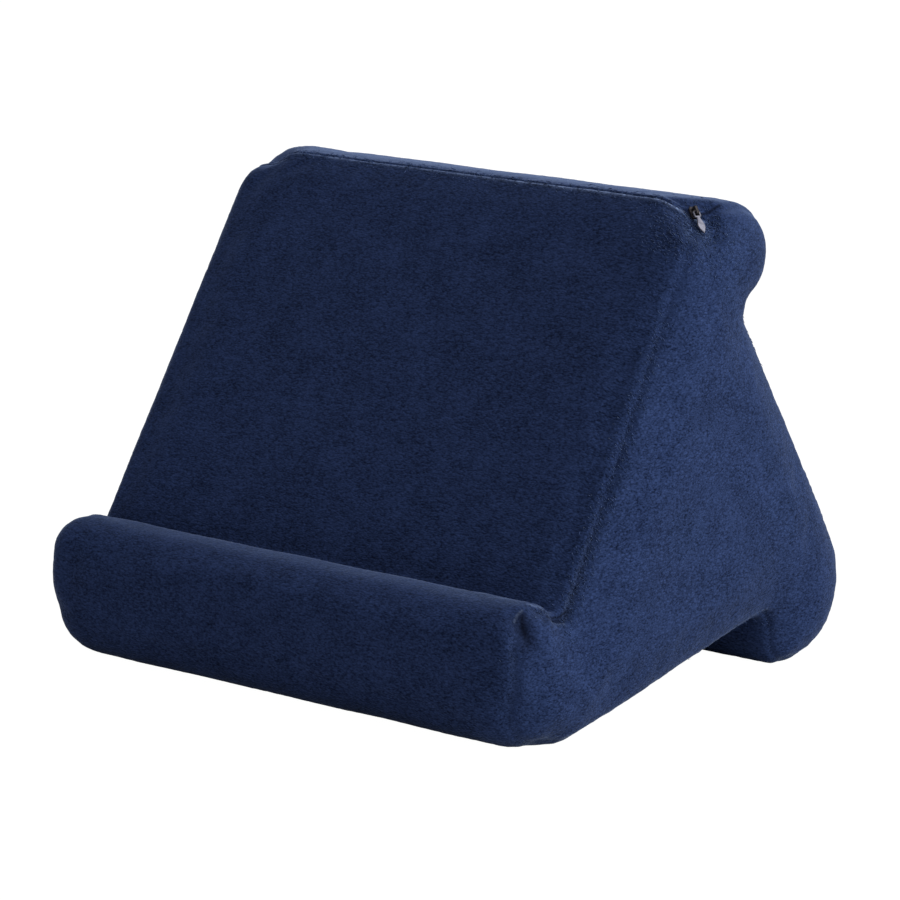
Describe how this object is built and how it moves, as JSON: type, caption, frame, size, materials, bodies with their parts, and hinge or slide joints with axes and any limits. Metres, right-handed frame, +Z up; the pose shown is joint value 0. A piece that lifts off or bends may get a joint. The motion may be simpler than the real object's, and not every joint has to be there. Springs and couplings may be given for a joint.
{
  "type": "tablet pillow stand",
  "caption": "Stuffed plush wedge with a soft roll along each corner; a tablet leans on a sloping face with its edge held in the trough behind a roll.",
  "frame": {"origin": "centre of the bounding box in X and Y, at the table the stand rests on", "axes": "+X across the width towards the end with the zip slider, -Y the front with the ledge, +Z up"},
  "size_m": [0.2744, 0.2318, 0.2116],
  "materials": {
    "plush": "short cut pile, matt with a soft sheen",
    "slider_metal": "dark plated, satin",
    "pull_metal": "pale plated, satin"
  },
  "bodies": {
    "root": {"cushion": "plush", "zip_slider": "slider_metal", "zip_pull": "pull_metal"}
  },
  "joints": []
}
